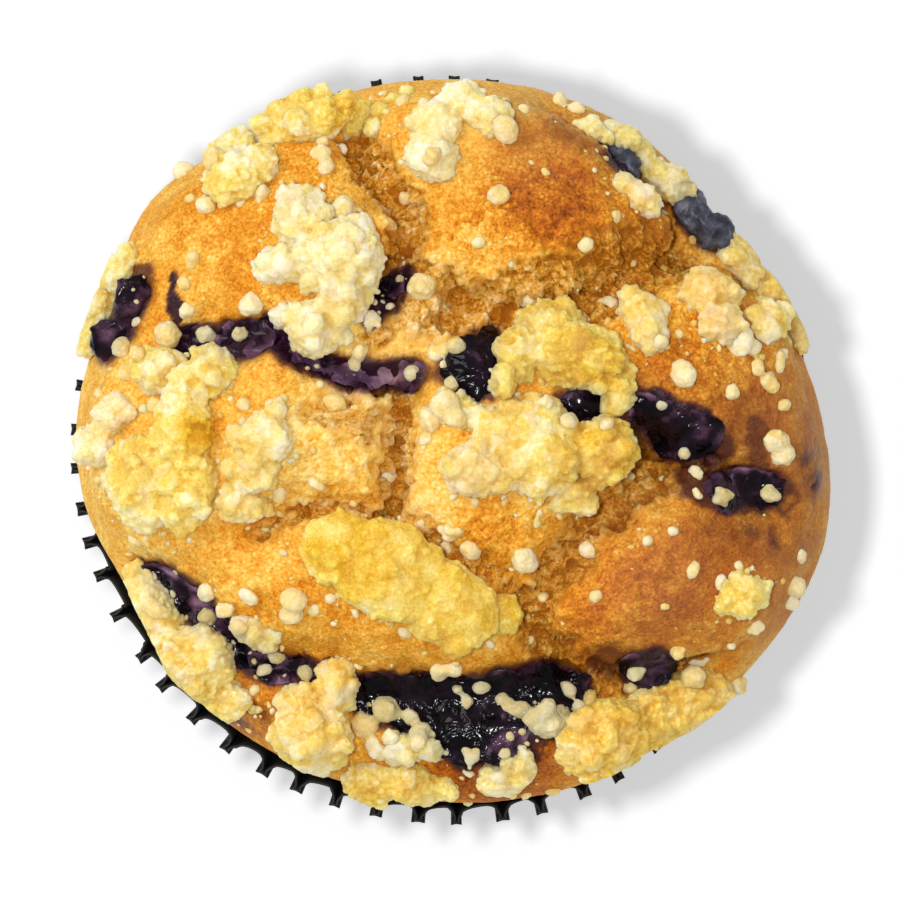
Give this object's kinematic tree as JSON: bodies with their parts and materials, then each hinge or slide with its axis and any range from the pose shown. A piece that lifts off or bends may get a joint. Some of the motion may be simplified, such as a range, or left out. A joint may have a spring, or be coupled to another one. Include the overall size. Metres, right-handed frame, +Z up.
{
  "type": "muffin",
  "caption": "Risen muffin with a cracked golden top, baked streusel lumps and dark berry jam, standing in a fluted paper case.",
  "frame": {"origin": "centre of the case's flat bottom", "axes": "+Z up from the bottom to the risen top, +X and +Y the right and the top of the muffin as seen from straight above"},
  "size_m": [0.0839, 0.0831, 0.0697],
  "materials": {
    "paper_case": "black greaseproof paper pressed into flutes, slightly glossy",
    "cake": "golden baked crust over an open yellow crumb",
    "streusel": "pale butter and flour crumbs, dry and grainy",
    "jam": "wet glossy purple-black jam",
    "berry": "burst blue-black berry skin under a sugary gloss"
  },
  "bodies": {
    "root": {"berry_centre": "berry", "berry_gap": "berry", "berry_high": "berry", "berry_low_right": "berry", "berry_right": "berry", "cake": "cake", "jam_high_left": "jam", "jam_left": "jam", "jam_pool": "jam", "jam_ribbon": "jam", "jam_right": "jam", "jam_trail": "jam", "paper_case": "paper_case", "skin_high": "berry", "skin_right": "berry", "streusel_bottom_left": "streusel", "streusel_bottom_mid": "streusel", "streusel_bottom_right": "streusel", "streusel_bottom_rim": "streusel", "streusel_centre_high": "streusel", "streusel_centre_low": "streusel", "streusel_left_band": "streusel", "streusel_left_high": "streusel", "streusel_left_inner": "streusel", "streusel_left_outer": "streusel", "streusel_left_rim": "streusel", "streusel_lower_left": "streusel", "streusel_lower_right": "streusel", "streusel_on_pool": "streusel", "streusel_on_trail": "streusel", "streusel_pool_edge": "streusel", "streusel_right_edge": "streusel", "streusel_right_high": "streusel", "streusel_right_ribbon": "streusel", "streusel_rim_strip": "streusel", "streusel_slab": "streusel", "streusel_top_arc": "streusel", "streusel_top_heap": "streusel", "streusel_top_left": "streusel", "streusel_top_right": "streusel", "streusel_torn_edge": "streusel", "streusel_upper_rim": "streusel"}
  },
  "joints": []
}
